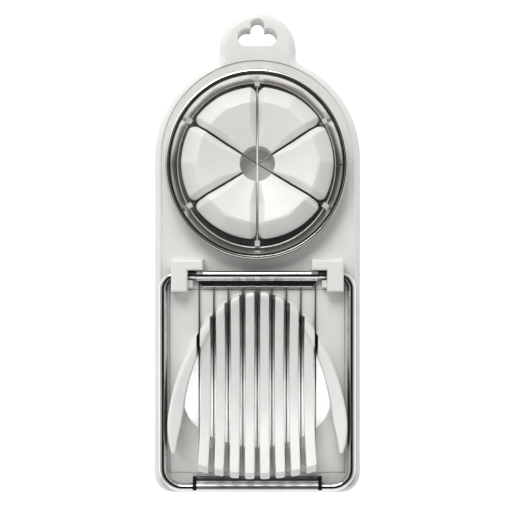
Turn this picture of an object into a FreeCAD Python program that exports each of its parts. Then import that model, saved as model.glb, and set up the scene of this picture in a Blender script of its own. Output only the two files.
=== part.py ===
import FreeCAD, Part
import math
import os
import re

import Sketcher

# Two-in-one egg slicer and egg wedger. Millimetres, +Z up.
# The origin is on the table, under the middle of the part's footprint.
# +Y runs towards the hanging tab, and the slicer's wires run along Y.

V = FreeCAD.Vector
X_AXIS, Y_AXIS, Z_AXIS = V(1, 0, 0), V(0, 1, 0), V(0, 0, 1)

SIZES = {
    # base tray: a shell that is open underneath, with a recessed deck
    "tray_width": 86.0,
    "tray_foot": 100.2,
    "arch_centre": 39.5,
    "corner_radius": 8.0,
    "rim_height": 11.4,
    "deck_height": 11.0,
    "edge_round": 3.8,
    "shoulder": 3.1,
    "wall": 2.2,
    "overrun": 5.0,
    "tab_centre": 84.0,
    "tab_radius": 16.2,
    "tab_blend": 4.0,
    # clover-shaped hanging hole
    "hang_lobe_side": 3.75,
    "hang_lobe_top": 2.9,
    "hang_spread": 4.5,
    "hang_side_y": 89.1,
    "hang_top_y": 93.8,
    # wedge cup: six petals round a blind hole, standing in the tray's well
    "cup_centre": 36.5,
    "well_radius": 35.6,
    "well_floor": 4.4,
    "cup_radius": 31.3,
    "ridge_radius": 24.4,
    "ridge_height": 20.0,
    "facet_edge": 14.4,
    "dish_floor": 13.2,
    "hole_radius": 7.3,
    "hole_floor": 7.0,
    "facet_rise": 2.0,
    "valley_floor": 8.4,
    "valley_narrow": 1.5,
    "valley_mouth": 7.4,
    "petal_round": 3.0,
    "wedge_angle": 32.0,
    # wedger ring: a rolled sheet band that carries three crossed wires
    "hem_bottom": 9.6,
    "hem_top": 12.4,
    "band_top": 17.0,
    "band_low_radius": 33.0,
    "band_high_radius": 36.4,
    "sheet": 0.6,
    "bead_radius": 0.95,
    "bead_ring": 37.1,
    "seam_width": 0.5,
    "wedger_wire": 0.6,
    "wedger_wire_low": 10.7,
    "wire_cross_gap": 0.06,
    "crimp_width": 2.1,
    "crimp_reach": 1.2,
    "crimp_bottom": 9.9,
    "crimp_top": 14.0,
    # ring hinge, tucked under the rim at the tab side
    "ring_hinge_y": 73.7,
    "ring_hinge_z": 13.6,
    "knuckle_radius": 1.15,
    "knuckle_half": 3.0,
    "ear_gap": 0.3,
    "ear_width": 2.2,
    "pin_radius": 0.65,
    "pin_head": 0.5,
    "pin_head_radius": 1.0,
    "running_gap": 0.05,
    # slicer frame: a bent rod with two wire carriers and nine wires
    "rod_radius": 1.7,
    "rod_height": 13.3,
    "rod_half_width": 38.8,
    "hinge_y": -9.6,
    "rod_foot_y": -96.8,
    "bend_top": 5.5,
    "bend_foot": 8.0,
    "wire_pitch": 6.0,
    "slicer_wire": 0.66,
    "wire_height": 11.95,
    "wire_hole_gap": 0.05,
    "carrier_sheet": 0.75,
    "carrier_half": 24.9,
    "upper_reach": 5.0,
    "lower_reach": 4.1,
    "carrier_bottom": 11.3,
    "lug_width": 1.5,
    "lug_overhang": 1.0,
    # hinge clips that hold the rod down on the tray
    "clip_inner": 28.5,
    "clip_outer": 35.2,
    "clip_rear": -3.1,
    "clip_front": -16.3,
    "clip_arm_front": -7.5,
    "clip_arm_inner": 22.2,
    "clip_top": 18.0,
    "clip_round": 1.0,
    "bend_room": 0.9,
    "peg_radius": 2.0,
    "peg_length": 5.0,
    "cheek_width": 1.9,
    "cheek_top": 14.0,
    # egg cradle: plate, arch and wings round a through-hole, and eight ribs
    "plate_half": 36.4,
    "plate_head": -15.4,
    "plate_foot": -91.6,
    "ledge": 2.0,
    "arch_head": -16.2,
    "wing_half": 36.0,
    "wing_widest": -69.0,
    "wing_tip": -80.0,
    "wing_foot_span": 33.6,
    "arch_power": 1.6,
    "arch_wall": 1.8,
    "wing_wall": 5.4,
    "tip_wall": 1.2,
    "wall_growth": 1.6,
    "wall_swell": 1.5,
    "tip_taper": 0.8,
    "hole_flare": 0.5,
    "hole_widest": -62.0,
    "hole_foot": -81.0,
    "rib_width": 4.1,
    "rib_fan_head": 0.02,
    "rib_fan_foot": 0.03,
    "rib_side_gap": 0.12,
    "rib_depth": 4.0,
    "slit_width": 1.3,
    "bowl_centre": -51.0,
    "bowl_floor": 12.6,
    "bowl_radius": 46.0,
    "bowl_side_radius": 80.0,
    "rim_floor": 15.6,
    "rim_radius": 85.0,
    "rib_end": -90.5,
    "rib_end_radius": 89.0,
    "rib_bevel_height": 27.0,
    "cradle_top": 60.0,
}

RIBS = 8
WIRES = RIBS + 1
PETALS = 6
OVER = 1.0  # how far a cut in code runs past the face that it opens
TROUGH_REACH = 0.98  # share of a trough's radius that its arc runs out to on either side

doc = FreeCAD.newDocument("egg_slicer_wedger")
sheet = doc.addObject("Spreadsheet::Sheet", "sizes")
for row, (alias, number) in enumerate(SIZES.items(), 1):
    sheet.set(f"A{row}", alias)
    sheet.set(f"B{row}", str(number))
    sheet.setAlias(f"B{row}", alias)
doc.recompute()

SIZE_WORD = re.compile(r"\b(" + "|".join(SIZES) + r")\b")


def full(expression):
    """Write a sheet alias in an expression with the sheet's name before it."""
    return SIZE_WORD.sub(r"sizes.\1", expression)


def size(expression):
    """The present value of an expression of the sheet's sizes."""
    return float(sheet.evalExpression(full(expression)))


def bind(item, **expressions):
    for name, expression in expressions.items():
        item.setExpression(name, full(expression))


def place(item, x="0", y="0", z="0"):
    """Bind an object's position to the sheet."""
    item.setExpression("Placement.Base.x", full(x))
    item.setExpression("Placement.Base.y", full(y))
    item.setExpression("Placement.Base.z", full(z))


def box(name, x, y, z):
    """A box between a low and a high expression along each axis."""
    item = doc.addObject("Part::Box", name)
    spans = {"Length": x, "Width": y, "Height": z}
    bind(item, **{side: f"({high}) - ({low})" for side, (low, high) in spans.items()})
    place(item, x[0], y[0], z[0])
    return item


def post(name, radius, x, y, z):
    """An upright cylinder between a low and a high expression of height."""
    item = doc.addObject("Part::Cylinder", name)
    bind(item, Radius=radius, Height=f"({z[1]}) - ({z[0]})")
    place(item, x, y, z[0])
    return item


def bar(name, radius, x, y, z):
    """A cylinder along X between a low and a high expression."""
    item = doc.addObject("Part::Cylinder", name)
    bind(item, Radius=radius, Height=f"({x[1]}) - ({x[0]})")
    item.Placement = FreeCAD.Placement(V(), FreeCAD.Rotation(Y_AXIS, 90))
    place(item, x[0], y, z)
    return item


def rod_along_y(name, radius, x, y, z):
    """A cylinder along Y between a low and a high expression."""
    item = doc.addObject("Part::Cylinder", name)
    bind(item, Radius=radius, Height=f"({y[1]}) - ({y[0]})")
    item.Placement = FreeCAD.Placement(V(), FreeCAD.Rotation(X_AXIS, -90))
    place(item, x, y[0], z)
    return item


def fuse(name, items):
    item = doc.addObject("Part::MultiFuse", name)
    item.Shapes = items
    item.Refine = True
    return item


def cut(name, base, tools):
    tool = tools[0] if len(tools) == 1 else fuse(name + "_cuts", tools)
    item = doc.addObject("Part::Cut", name)
    item.Base, item.Tool = base, tool
    item.Refine = True
    return item


def common(name, items):
    item = doc.addObject("Part::MultiCommon", name)
    item.Shapes = items
    item.Refine = True
    return item


def set_shape(name, shape):
    """A piece whose shape is worked out in code from the sheet's sizes."""
    item = doc.addObject("Part::Feature", name)
    item.Shape = shape
    return item


def round_edges(name, base, radius, chosen):
    """Round the edges of a base that a test picks out."""
    doc.recompute()
    item = doc.addObject("Part::Fillet", name)
    item.Base = base
    amount = size(radius)
    numbers = [n for n, edge in enumerate(base.Shape.Edges, 1) if chosen(edge)]
    item.Edges = [(n, amount, amount) for n in numbers]
    return item


def polygon_sketch(body, name, role, points, lift="0"):
    """A closed outline on one of a body's own planes, each corner bound to the sheet."""
    sketch = body.newObject("Sketcher::SketchObject", name)
    plane = next(item for item in body.Origin.OriginFeatures if item.Role == role)
    sketch.AttachmentSupport = (plane, "")
    sketch.MapMode = "FlatFace"
    sketch.setExpression("AttachmentOffset.Base.z", full(lift))
    doc.recompute()
    corners = [V(size(a), size(b), 0) for a, b in points]
    count = len(corners)
    for n in range(count):
        sketch.addGeometry(Part.LineSegment(corners[n], corners[(n + 1) % count]))
    for n in range(count):
        sketch.addConstraint(Sketcher.Constraint("Coincident", n, 2, (n + 1) % count, 1))
    for n, expressions in enumerate(points):
        for kind, expression in zip(("DistanceX", "DistanceY"), expressions):
            rule = Sketcher.Constraint(kind, n, 1, size(expression))
            index = sketch.addConstraint(rule)
            sketch.setExpression(f"Constraints[{index}]", full(expression))
    return sketch


def pad_between(body, name, sketch, length, symmetric=False):
    pad = body.newObject("PartDesign::Pad", name)
    pad.Profile = sketch
    pad.SideType = "Symmetric" if symmetric else "One side"
    bind(pad, Length=length)
    return pad


def x_profile(name, points, half_length):
    """A bar along X whose section is an outline of (y, z) corners."""
    body = doc.addObject("PartDesign::Body", name)
    sketch = polygon_sketch(body, name + "_outline", "YZ_Plane", points)
    pad_between(body, name + "_pad", sketch, f"2 * ({half_length})", symmetric=True)
    return body


def is_upright(edge):
    line = edge.Vertexes[0].Point - edge.Vertexes[-1].Point
    return len(edge.Vertexes) == 2 and abs(line.z) > 0.99 * edge.Length


# ---------------------------------------------------------------- base tray

def tray_blank(name, inset, top):
    """The tray's outline, moved inwards by an inset and raised from the table."""
    height = ("0", top)
    half = f"tray_width / 2 - ({inset})"
    straight = box(name + "_straight", (f"-({half})", half),
                   (f"-tray_foot + ({inset})", "arch_centre"), height)
    arch = post(name + "_arch", half, "0", "arch_centre", height)
    tab = post(name + "_tab", f"tab_radius - ({inset})", "0", "tab_centre", height)
    joined = fuse(name + "_joined", [straight, arch, tab])
    foot_y = size(f"-tray_foot + ({inset})")
    tab_root = size("tab_centre") - size("tab_radius")

    def at_foot(edge):
        return is_upright(edge) and edge.Vertexes[0].Point.y < foot_y + 0.01

    def at_tab(edge):
        return is_upright(edge) and edge.Vertexes[0].Point.y > tab_root

    rounded = round_edges(name + "_corners", joined, f"corner_radius - ({inset})", at_foot)
    return round_edges(name + "_blend", rounded, "tab_blend", at_tab)


def clover(name, grow, z):
    """The hanging hole's outline as an upright solid, grown outwards."""
    side_radius = f"hang_lobe_side + ({grow})"
    lobes = [post(f"{name}_{word}", side_radius, f"{sign} hang_spread", "hang_side_y", z)
             for word, sign in (("left", "-"), ("right", "+"))]
    top = post(name + "_top", f"hang_lobe_top + ({grow})", "0", "hang_top_y", z)
    middle = box(name + "_middle", ("-hang_spread", "hang_spread"),
                 (f"hang_side_y - ({side_radius})", "hang_side_y"), z)
    neck = box(name + "_neck", ("-hang_lobe_top", "hang_lobe_top"),
               ("hang_side_y", "hang_top_y"), z)
    return fuse(name, lobes + [top, middle, neck])


def make_tray():
    outer = tray_blank("tray_outside", "0", "rim_height")
    doc.recompute()
    top = size("rim_height")
    soft = round_edges("tray_soft_edge", outer, "edge_round",
                       lambda edge: edge.BoundBox.ZMin > top - 0.01)
    inside = tray_blank("tray_inside", "wall", "deck_height - wall")

    recess_half = "tray_width / 2 - shoulder"
    above_deck = ("deck_height", "rim_height + overrun")
    recess = fuse("deck_recess", [
        box("recess_straight", (f"-({recess_half})", recess_half),
            ("-tray_foot + shoulder", "arch_centre"), above_deck),
        post("recess_arch", recess_half, "0", "arch_centre", above_deck),
    ])
    shell = cut("tray_shell", soft, [inside, recess])

    inner_height = ("0", "deck_height - wall / 2")
    well_wall = post("well_wall", "well_radius + wall", "0", "cup_centre", inner_height)
    hole_wall = clover("hang_wall", "wall", inner_height)
    seat_rim = box("cradle_seat",
                   ("-plate_half - wall", "plate_half + wall"),
                   ("plate_foot - wall", "plate_head + wall"),
                   ("deck_height - wall - ledge", "deck_height - wall / 2"))
    ears = []
    for word, sign in (("left", "-"), ("right", "+")):
        near = f"{sign} (knuckle_half + ear_gap)"
        far = f"{sign} (knuckle_half + ear_gap + ear_width)"
        span = (far, near) if sign == "-" else (near, far)
        ears.append(bar(f"ear_top_{word}", "knuckle_radius", span, "ring_hinge_y", "ring_hinge_z"))
        ears.append(box(f"ear_post_{word}", span,
                        ("ring_hinge_y - knuckle_radius", "ring_hinge_y + knuckle_radius"),
                        ("deck_height - wall", "ring_hinge_z")))
    cheeks = []
    for word, sign in (("left", "-"), ("right", "+")):
        near = f"{sign} (clip_inner - cheek_width)"
        far = f"{sign} clip_inner"
        span = (far, near) if sign == "-" else (near, far)
        cheeks.append(box(f"cheek_{word}", span,
                          ("hinge_y - upper_reach", "hinge_y - rod_radius - ear_gap"),
                          ("deck_height - wall", "cheek_top")))
    solid = fuse("tray_solid", [shell, well_wall, hole_wall, seat_rim] + ears + cheeks)

    through = ("-overrun", "rim_height + overrun")
    well = post("well", "well_radius", "0", "cup_centre", ("well_floor", "rim_height + overrun"))
    under_well = post("under_well", "well_radius", "0", "cup_centre", ("-overrun", "well_floor - wall"))
    seat = box("cradle_opening", ("-plate_half", "plate_half"), ("plate_foot", "plate_head"),
               ("deck_height - wall", "rim_height + overrun"))
    seat_hole = box("cradle_window", ("-plate_half + ledge", "plate_half - ledge"),
                    ("plate_foot + ledge", "plate_head - ledge"), through)
    pin_hole = bar("ear_bore", "pin_radius", ("-tab_radius", "tab_radius"),
                   "ring_hinge_y", "ring_hinge_z")
    pegs = [post(f"peg_hole_{word}", "peg_radius", f"{sign} (clip_inner + clip_outer) / 2",
                 "(clip_rear + clip_arm_front) / 2", through)
            for word, sign in (("left", "-"), ("right", "+"))]
    hang = clover("hang_hole", "0", through)
    tray = cut("base_tray", solid, [well, under_well, seat, seat_hole, pin_hole, hang] + pegs)
    tray.Label = "base_tray"
    return tray


# ---------------------------------------------------------------- wedge cup

def make_cup():
    """A faceted ring of petals with a dished top, split by three valleys for the wires."""
    flat = math.cos(math.pi / (2 * PETALS))
    rise = "facet_rise"
    slope = "((ridge_height - facet_edge) / (cup_radius - ridge_radius))"
    rings = []
    for word, height, radius in (
            ("foot", "well_floor", f"ridge_radius + (ridge_height - well_floor) / {slope}"),
            ("head", f"ridge_height + {rise}", f"ridge_radius - {rise} / {slope}")):
        ring = doc.addObject("Part::RegularPolygon", f"facet_{word}")
        ring.Polygon = 2 * PETALS
        bind(ring, Circumradius=f"({radius}) / {flat}")
        place(ring, "0", "cup_centre", height)
        rings.append(ring)
    pyramid = doc.addObject("Part::Loft", "facets")
    pyramid.Sections = rings
    pyramid.Solid = True
    pyramid.Ruled = True
    barrel = post("cup_barrel", "cup_radius", "0", "cup_centre",
                  ("well_floor", f"ridge_height + 2 * {rise}"))
    blank = common("cup_blank", [pyramid, barrel])

    fall = "((ridge_height - dish_floor) / (ridge_radius - hole_radius))"
    dish = doc.addObject("Part::Cone", "dish")
    bind(dish, Radius1="hole_radius", Radius2=f"ridge_radius + 2 * {rise} / {fall}",
         Height=f"ridge_height + 2 * {rise} - dish_floor")
    place(dish, "0", "cup_centre", "dish_floor")
    hole = post("cup_hole", "hole_radius", "0", "cup_centre", ("hole_floor", "dish_floor"))

    valleys = []
    length = "2 * (cup_radius + facet_rise)"
    depth = "(ridge_height - valley_floor)"
    top_half = (f"(valley_narrow + (valley_mouth - valley_narrow)"
                f" * ({depth} + facet_rise) / {depth}) / 2")
    for number, angle in enumerate(wedge_angles(), 1):
        turn = FreeCAD.Rotation(Z_AXIS, angle) * FreeCAD.Rotation(X_AXIS, 90)
        flare = doc.addObject("Part::Wedge", f"valley_flare_{number}")
        bind(flare, Xmin="0", Xmax=length, X2min="0", X2max=length,
             Zmin="-valley_narrow / 2", Zmax="valley_narrow / 2",
             Z2min=f"-({top_half})", Z2max=top_half,
             Ymin="0", Ymax=f"{depth} + facet_rise")
        spin = FreeCAD.Rotation(Z_AXIS, angle)
        start = V(-size("cup_radius + facet_rise"), 0, size("valley_floor"))
        flare.Placement = FreeCAD.Placement(
            V(0, size("cup_centre"), 0) + spin.multVec(start), turn)
        valleys.append(flare)
    cup = cut("wedge_cup_cut", blank, [dish, hole] + valleys + corner_notches())
    cup.Label = "wedge_cup"
    return cup


def corner_notches():
    """Cuts that round the petals' outer corners, where the wires' crimps pass."""
    notches = []
    corner, half_slot = size("petal_round"), size("valley_narrow / 2")
    side = corner + half_slot
    depth = math.sqrt((size("cup_radius") - corner) ** 2 - side ** 2)
    low, tall = size("well_floor"), size("ridge_height")
    for angle in wedge_angles():
        for turn in (angle, angle + 180):
            name = f"notch_{round(turn)}"
            spin = FreeCAD.Rotation(Z_AXIS, turn)
            middle = V(0, size("cup_centre"), low)
            block = doc.addObject("Part::Box", name + "_block")
            bind(block, Length="petal_round + cup_radius / 10", Height="ridge_height")
            block.Width = 2 * side
            block.Placement = FreeCAD.Placement(middle + spin.multVec(V(depth, -side, 0)), spin)
            rounds = []
            for word, sign in (("a", 1), ("b", -1)):
                drum = doc.addObject("Part::Cylinder", f"{name}_{word}")
                bind(drum, Radius="petal_round")
                drum.Height = tall
                drum.Placement.Base = middle + spin.multVec(V(depth, sign * side, 0))
                rounds.append(drum)
            notches.append(cut(name, block, rounds))
    return notches


def wedge_angles():
    """The three wires' directions, lowest wire first, in degrees from +X."""
    return [size("wedge_angle"), 180 - size("wedge_angle"), 90.0]


# --------------------------------------------------------------- egg cradle

def wing_half_width(y):
    """Half the cradle's width at a place along Y: a pointed arch that closes below."""
    half, widest = size("wing_half"), size("wing_widest")
    if y >= widest:
        head = size("arch_head")
        along = min(max((head - y) / (head - widest), 0.0), 1.0)
        return half * math.sqrt(1 - (1 - along) ** size("arch_power"))
    below = (widest - y) / size("wing_foot_span")
    return half * math.sqrt(max(1 - below * below, 0.0))


def wall_thickness(y):
    """Thin at the arch, thick along the wings and thin again at their tips."""
    head, widest, tip = size("arch_head"), size("wing_widest"), size("wing_tip")
    if y >= widest:
        along = min(max((head - y) / (head - widest), 0.0), 1.0)
        grown = math.sin(math.pi / 2 * min(size("wall_growth") * along, 1.0))
        grown = grown ** size("wall_swell")
        return size("arch_wall") + (size("wing_wall") - size("arch_wall")) * grown
    left = max((y - tip) / (widest - tip), 0.0)
    return size("tip_wall") + (size("wing_wall") - size("tip_wall")) * left ** size("tip_taper")


def half_outline(inwards, foot, count=18):
    """Points of the right half of the arch and wing, from the head down to a foot."""
    head = size("arch_head") - (size("arch_wall") if inwards else 0)
    points = []
    for n in range(count + 1):
        y = head + (foot - head) * (n / count) ** 2 if n < count else foot
        if inwards:
            wide = inner_half_width(y)
        else:
            wide = wing_half_width(y)
        points.append(V(wide, y, 0))
    return points


def inner_half_width(y):
    """Half the width inside the walls, closing in an arch of its own."""
    head, arch = size("arch_head"), size("arch_wall")
    widest = size("wing_widest")
    if y < widest:
        return wing_half_width(y) - wall_thickness(y)
    along = min(max((head - arch - y) / (head - arch - widest), 0.0), 1.0)
    half = size("wing_half") - size("wing_wall")
    return half * math.sqrt(1 - (1 - along) ** size("arch_power"))


def closed_face(right_half):
    """A face that is the same on both sides of X = 0, from its right half."""
    left_half = [V(-point.x, point.y, 0) for point in reversed(right_half)]
    curve = Part.BSplineCurve()
    if right_half[0].x < 1e-6:
        curve.interpolate(left_half[:-1] + right_half)
    else:
        curve.interpolate(left_half + right_half)
    edge = curve.toShape()
    ends = [edge.Vertexes[-1].Point, edge.Vertexes[0].Point]
    return Part.Face(Part.Wire([edge, Part.makeLine(*ends)]))


def upright(face, low, high):
    moved = face.copy()
    moved.translate(V(0, 0, low))
    return moved.extrude(V(0, 0, high - low))


def bowl(centre_y, floor, radius, depth=0.0):
    """All that lies above a trough: a YZ arc turned about an axis along Y."""
    axis_z = floor + size("bowl_side_radius")
    reach = radius * TROUGH_REACH
    low = floor - depth
    centre_z = floor + radius
    arm = radius + depth

    def on_arc(y):
        return V(0, y, centre_z - math.sqrt(arm * arm - (y - centre_y) ** 2))

    left, right = centre_y - reach, centre_y + reach
    arc = Part.Arc(on_arc(left), V(0, centre_y, low), on_arc(right)).toShape()
    rail = [on_arc(right), V(0, right, axis_z), V(0, left, axis_z), on_arc(left)]
    wire = Part.Wire([arc] + [Part.makeLine(a, b) for a, b in zip(rail, rail[1:])])
    turned = Part.Face(wire).revolve(V(0, 0, axis_z), Y_AXIS, 360)
    return turned


def through_hole(inside, low, high):
    """The egg-shaped opening: the arch's inside above, half an ellipse below."""
    widest = size("hole_widest")
    half = inner_half_width(widest) + size("hole_flare")
    ellipse = Part.Ellipse(V(0, widest, 0), half, widest - size("hole_foot"))
    egg_end = Part.Face(Part.Wire([
        Part.ArcOfEllipse(ellipse, math.pi, 2 * math.pi).toShape(),
        Part.makeLine(V(half, widest, 0), V(half, 0, 0)),
        Part.makeLine(V(half, 0, 0), V(-half, 0, 0)),
        Part.makeLine(V(-half, 0, 0), V(-half, widest, 0)),
    ]))
    return upright(inside, low, high).common(upright(egg_end, low, high))


def rib_face(number):
    """A rib's outline from above: its ends fan out a little, clear of the wires beside it."""
    middle = (number - (RIBS - 1) / 2) * size("wire_pitch")
    half = size("rib_width / 2")
    limit = (WIRES - 1) / 2 * size("wire_pitch") - size("slicer_wire / 2 + rib_side_gap")
    stations = ((size("rib_end"), size("rib_fan_foot")), (size("bowl_centre"), 0.0),
                (size("arch_head"), size("rib_fan_head")))
    sides = []
    for side in (-half, half):
        points = []
        for y, fan in stations:
            x = middle * (1 + fan) + side
            points.append(V(min(max(x, -limit), limit), y, 0))
        sides.append(points)
    left, right = (Part.Arc(*points).toShape() for points in sides)
    foot = Part.makeLine(sides[1][0], sides[0][0])
    head = Part.makeLine(sides[0][-1], sides[1][-1])
    return Part.Face(Part.Wire(Part.__sortEdges__([left, head, right, foot])))


def make_cradle():
    deck, plate_low = size("deck_height"), size("deck_height - wall")
    top = size("cradle_top")
    tip = size("wing_tip")
    outline = closed_face(half_outline(False, tip))
    inside = closed_face(half_outline(True, tip - size("tip_wall")))
    walls = upright(outline, deck, top).cut(upright(inside, deck, top))
    walls = walls.cut(bowl(size("bowl_centre"), size("rim_floor"), size("rim_radius")))

    # ribs: upright slabs under the bowl, ended by the arch and by a bevelled arc
    rib_foot = size("rib_end")
    slab_low = deck - size("rib_depth")
    slabs = [upright(rib_face(n), slab_low, top) for n in range(RIBS)]
    below = Part.makeBox(2 * size("wing_half"), size("bowl_centre") - rib_foot + OVER,
                         top - slab_low, V(-size("wing_half"), rib_foot - OVER, slab_low))
    reach = upright(outline, slab_low, top)
    end_radius = size("rib_end_radius")
    end_centre = V(0, rib_foot + end_radius, 0)
    bevel_z = size("rib_bevel_height")
    drum = Part.makeCylinder(end_radius, bevel_z - slab_low, end_centre + V(0, 0, slab_low))
    crown_height = top - bevel_z
    crown = Part.makeCone(end_radius, end_radius - crown_height, crown_height,
                          end_centre + V(0, 0, bevel_z))
    drum = drum.fuse(crown)
    above = bowl(size("bowl_centre"), size("bowl_floor"), size("bowl_radius"))
    beams = bowl(size("bowl_centre"), size("bowl_floor"), size("bowl_radius"), size("rib_depth"))
    footing = Part.makeBox(2 * size("wing_half"), size("hole_foot") - rib_foot + OVER, top,
                           V(-size("wing_half"), rib_foot - OVER, deck))
    ribs = []
    for slab in slabs:
        rib = slab.common(reach).fuse(slab.common(below)).common(drum).cut(above)
        ribs.append(rib.common(beams.fuse(footing)))

    # plate: lies in the tray's opening, with the egg-shaped through-hole
    plate = Part.makeBox(size("2 * plate_half"), size("plate_head - plate_foot"), size("wall"),
                         V(-size("plate_half"), size("plate_foot"), plate_low))
    plate = plate.cut(through_hole(inside, plate_low - OVER, deck + OVER))

    cradle = plate.fuse([walls] + ribs)
    slits = []
    for n in range(WIRES):
        x = (n - (WIRES - 1) / 2) * size("wire_pitch") - size("slit_width") / 2
        slits.append(Part.makeBox(size("slit_width"), size("arch_head - bowl_centre") + OVER,
                                  top, V(x, size("bowl_centre"), deck)))
    cradle = cradle.cut(slits).removeSplitter()
    return set_shape("egg_cradle", cradle)


# -------------------------------------------------------------- wedger ring

def band_body(name, points):
    """A solid turned about the ring's axis from an outline of (radius, height) corners."""
    body = doc.addObject("PartDesign::Body", name)
    outline = polygon_sketch(body, name + "_outline", "XZ_Plane", points)
    turned = body.newObject("PartDesign::Revolution", name + "_turned")
    turned.Profile = outline
    turned.ReferenceAxis = (outline, ["V_Axis"])
    turned.Angle = 360
    place(body, "0", "cup_centre", "0")
    return body


def inside_band(name):
    """The space that the ring's band encloses."""
    return band_body(name, [
        ("0", "hem_bottom"),
        ("band_low_radius", "hem_bottom"),
        ("band_low_radius", "hem_top"),
        ("band_high_radius", "band_top"),
        ("0", "band_top"),
    ])


def make_ring():
    """A hemmed, flared sheet band with a rolled rim, and half of the hinge at its back."""
    band = band_body("ring_band", [
        ("band_low_radius", "hem_bottom"),
        ("band_low_radius + sheet", "hem_bottom"),
        ("band_low_radius + sheet", "hem_top"),
        ("band_high_radius + sheet", "band_top"),
        ("band_high_radius", "band_top"),
        ("band_low_radius", "hem_top"),
    ])
    bead = doc.addObject("Part::Torus", "rim_bead")
    bind(bead, Radius1="bead_ring", Radius2="bead_radius")
    place(bead, "0", "cup_centre", "band_top")
    knuckle = bar("ring_knuckle", "knuckle_radius", ("-knuckle_half", "knuckle_half"),
                  "ring_hinge_y", "ring_hinge_z")
    web = box("knuckle_web", ("-knuckle_half", "knuckle_half"),
              ("cup_centre + band_low_radius", "ring_hinge_y"),
              ("ring_hinge_z - knuckle_radius / 2", "ring_hinge_z + knuckle_radius / 2"))
    bore = bar("knuckle_bore", "pin_radius + running_gap", ("-tab_radius", "tab_radius"),
               "ring_hinge_y", "ring_hinge_z")
    seam = box("ring_seam", ("band_low_radius - sheet", "band_high_radius + sheet / 2"),
               ("cup_centre - seam_width / 2", "cup_centre + seam_width / 2"),
               ("hem_bottom - sheet", "band_top - bead_radius"))
    outer_web = cut("web_outside", web, [inside_band("ring_space")])
    joined = fuse("ring_joined", [band, bead, knuckle, outer_web])
    ring = cut("wedger_ring", joined, [bore, seam])
    ring.Label = "wedger_ring"
    return ring


def wedger_wire_height(number):
    return size(f"wedger_wire_low + {number} * (wedger_wire + wire_cross_gap)")


def turned_box(name, along, across, height, angle):
    """A box set out along a direction from the ring's axis, between low and high expressions."""
    item = doc.addObject("Part::Box", name)
    bind(item, Length=f"({along[1]}) - ({along[0]})", Width=across,
         Height=f"({height[1]}) - ({height[0]})")
    spin = FreeCAD.Rotation(Z_AXIS, angle)
    corner = V(size(along[0]), -size(across) / 2, size(height[0]))
    item.Placement = FreeCAD.Placement(V(0, size("cup_centre"), 0) + spin.multVec(corner), spin)
    return item


def make_wedger_wires():
    """Three wires across the ring, stacked where they cross, each with a crimp at either end."""
    pieces = []
    reach = size("band_low_radius - sheet")
    for number, angle in enumerate(wedge_angles()):
        along = V(math.cos(math.radians(angle)), math.sin(math.radians(angle)), 0)
        centre = V(0, size("cup_centre"), wedger_wire_height(number))
        tilt = FreeCAD.Rotation(Z_AXIS, angle) * FreeCAD.Rotation(Y_AXIS, 90)
        wire = doc.addObject("Part::Cylinder", f"wedger_wire_{number + 1}")
        bind(wire, Radius="wedger_wire / 2")
        wire.Height = 2 * reach
        wire.Placement = FreeCAD.Placement(centre - along * reach, tilt)
        wire.Label = f"wedger_wire_{number + 1}"
        pieces.append(wire)
        for end, turn in enumerate((angle, angle + 180)):
            label = f"wire_crimp_{2 * number + end + 1}"
            block = turned_box(label + "_block",
                               ("band_low_radius - crimp_reach", "band_high_radius"),
                               "crimp_width", ("crimp_bottom", "crimp_top"), turn)
            fitted = common(label + "_fitted", [block, inside_band(label + "_space")])
            hole = doc.addObject("Part::Cylinder", label + "_hole")
            bind(hole, Radius="wedger_wire / 2 + wire_hole_gap")
            hole.Height = 2 * reach
            hole.Placement = wire.Placement
            crimp = cut(label, fitted, [hole])
            crimp.Label = label
            pieces.append(crimp)
    return pieces


def make_ring_pin():
    """The ring hinge's pin, fixed in the tray's two ears."""
    outer = "knuckle_half + ear_gap + ear_width"
    shaft = bar("pin_shaft", "pin_radius", (f"-({outer})", outer), "ring_hinge_y", "ring_hinge_z")
    heads = [bar(f"pin_head_{word}", "pin_head_radius", span, "ring_hinge_y", "ring_hinge_z")
             for word, span in (("left", (f"-({outer} + pin_head)", f"-({outer})")),
                                ("right", (outer, f"{outer} + pin_head")))]
    pin = fuse("ring_hinge_pin", [shaft] + heads)
    pin.Label = "ring_hinge_pin"
    return pin


# ------------------------------------------------------------- slicer frame

def bend(name, radius, x, y, start):
    """A quarter of a torus that joins two straights of the rod."""
    item = doc.addObject("Part::Torus", name)
    bind(item, Radius1=radius, Radius2="rod_radius")
    item.Angle3 = 90
    item.Placement = FreeCAD.Placement(V(), FreeCAD.Rotation(Z_AXIS, start))
    place(item, x, y, "rod_height")
    return item


def make_rod():
    """One round rod bent into a rectangle; its ends meet under the upper carrier."""
    top_x, foot_x = "rod_half_width - bend_top", "rod_half_width - bend_foot"
    top_y, foot_y = "hinge_y - bend_top", "rod_foot_y + bend_foot"
    parts = [
        bar("rod_top_left", "rod_radius", (f"-({top_x})", "-running_gap"), "hinge_y", "rod_height"),
        bar("rod_top_right", "rod_radius", ("-running_gap", top_x), "hinge_y", "rod_height"),
        bar("rod_foot", "rod_radius", (f"-({foot_x})", foot_x), "rod_foot_y", "rod_height"),
        rod_along_y("rod_left", "rod_radius", "-rod_half_width", (foot_y, top_y), "rod_height"),
        rod_along_y("rod_right", "rod_radius", "rod_half_width", (foot_y, top_y), "rod_height"),
        bend("bend_top_right", "bend_top", top_x, top_y, 0),
        bend("bend_top_left", "bend_top", f"-({top_x})", top_y, 90),
        bend("bend_foot_left", "bend_foot", f"-({foot_x})", foot_y, 180),
        bend("bend_foot_right", "bend_foot", foot_x, foot_y, 270),
    ]
    rod = fuse("slicer_frame_rod", parts)
    rod.Label = "slicer_frame_rod"
    return rod


def wire_x(number):
    """The place of a slicer wire across the frame, as an expression."""
    return f"({number} - {(WIRES - 1) / 2}) * wire_pitch"


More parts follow.
